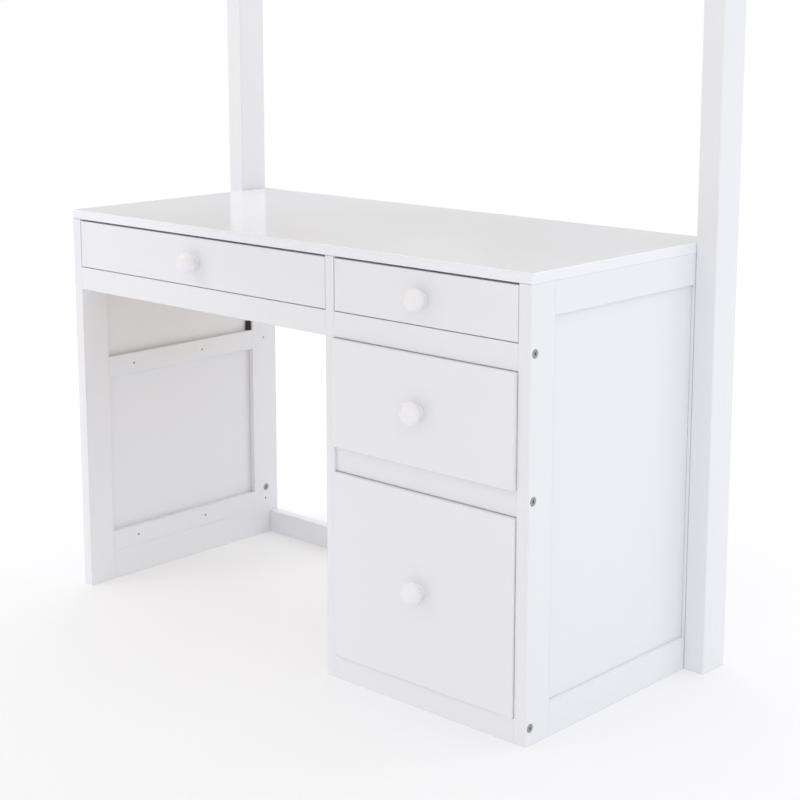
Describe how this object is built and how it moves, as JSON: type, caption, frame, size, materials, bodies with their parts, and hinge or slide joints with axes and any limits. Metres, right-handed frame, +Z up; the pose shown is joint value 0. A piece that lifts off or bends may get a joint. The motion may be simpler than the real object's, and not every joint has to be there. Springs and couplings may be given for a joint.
{
  "type": "loft bed with desk",
  "caption": "Twin loft bed on four posts with slatted bed base, guard boards, side ladder, and a desk with drawers built in under one end.",
  "frame": {"origin": "on the floor, in the middle of the rectangle of the four posts", "axes": "+Z up, +Y along the bed towards the desk end, +X across the bed towards the ladder side; the drawers open towards -Y"},
  "size_m": [1.126, 2.047, 1.7],
  "materials": {
    "white_paint": "satin white lacquer over solid wood and MDF",
    "pine": "planed, unpainted",
    "birch_ply": "sanded, unpainted",
    "beech": "turned, unpainted",
    "zinc_steel": "zinc plated",
    "slide_steel": "zinc plated",
    "dark_plastic": "moulded"
  },
  "bodies": {
    "root": {"back_stretcher": "white_paint", "barrel_nuts": "zinc_steel", "bed_bolts": "zinc_steel", "bed_slats": "pine", "corner_blocks": "dark_plastic", "desk_back_rail": "white_paint", "desk_bolts": "zinc_steel", "desk_dowels": "beech", "desk_top": "white_paint", "end_rails": "white_paint", "foot_rail": "white_paint", "guard_boards_ends": "white_paint", "guard_boards_left": "white_paint", "guard_boards_right": "white_paint", "kneehole_rail": "white_paint", "ladder_rungs": "white_paint", "ladder_upright": "white_paint", "left_back_stile": "white_paint", "left_bottom_rail": "white_paint", "left_front_stile": "white_paint", "left_top_rail": "white_paint", "partition": "white_paint", "pedestal_back_panel": "white_paint", "pedestal_bottom_rail": "white_paint", "pedestal_middle_rail": "white_paint", "pedestal_upper_rail": "white_paint", "post_back_left": "white_paint", "post_back_right": "white_paint", "post_front_left": "white_paint", "post_front_right": "white_paint", "right_back_stile": "white_paint", "right_bottom_rail": "white_paint", "right_front_stile": "white_paint", "right_top_rail": "white_paint", "side_panels": "white_paint", "side_rail_left": "white_paint", "side_rail_right": "white_paint", "slat_ledges": "pine", "slide_battens": "white_paint", "slide_channels": "slide_steel"},
    "left_drawer": {"left_drawer_base": "birch_ply", "left_drawer_box": "white_paint", "left_drawer_front": "white_paint", "left_drawer_knob": "white_paint", "left_drawer_slides": "slide_steel"},
    "right_drawer": {"right_drawer_base": "birch_ply", "right_drawer_box": "white_paint", "right_drawer_front": "white_paint", "right_drawer_knob": "white_paint", "right_drawer_slides": "slide_steel"},
    "middle_drawer": {"middle_drawer_base": "birch_ply", "middle_drawer_box": "white_paint", "middle_drawer_front": "white_paint", "middle_drawer_knob": "white_paint", "middle_drawer_slides": "slide_steel"},
    "bottom_drawer": {"bottom_drawer_base": "birch_ply", "bottom_drawer_box": "white_paint", "bottom_drawer_front": "white_paint", "bottom_drawer_knob": "white_paint", "bottom_drawer_slides": "slide_steel"}
  },
  "joints": [
    {"name": "left_drawer_slide", "type": "slide", "parent": "root", "child": "left_drawer", "axis": [0, -1, 0], "range_m": [0, 0.3]},
    {"name": "right_drawer_slide", "type": "slide", "parent": "root", "child": "right_drawer", "axis": [0, -1, 0], "range_m": [0, 0.3]},
    {"name": "middle_drawer_slide", "type": "slide", "parent": "root", "child": "middle_drawer", "axis": [0, -1, 0], "range_m": [0, 0.3]},
    {"name": "bottom_drawer_slide", "type": "slide", "parent": "root", "child": "bottom_drawer", "axis": [0, -1, 0], "range_m": [0, 0.3]}
  ]
}
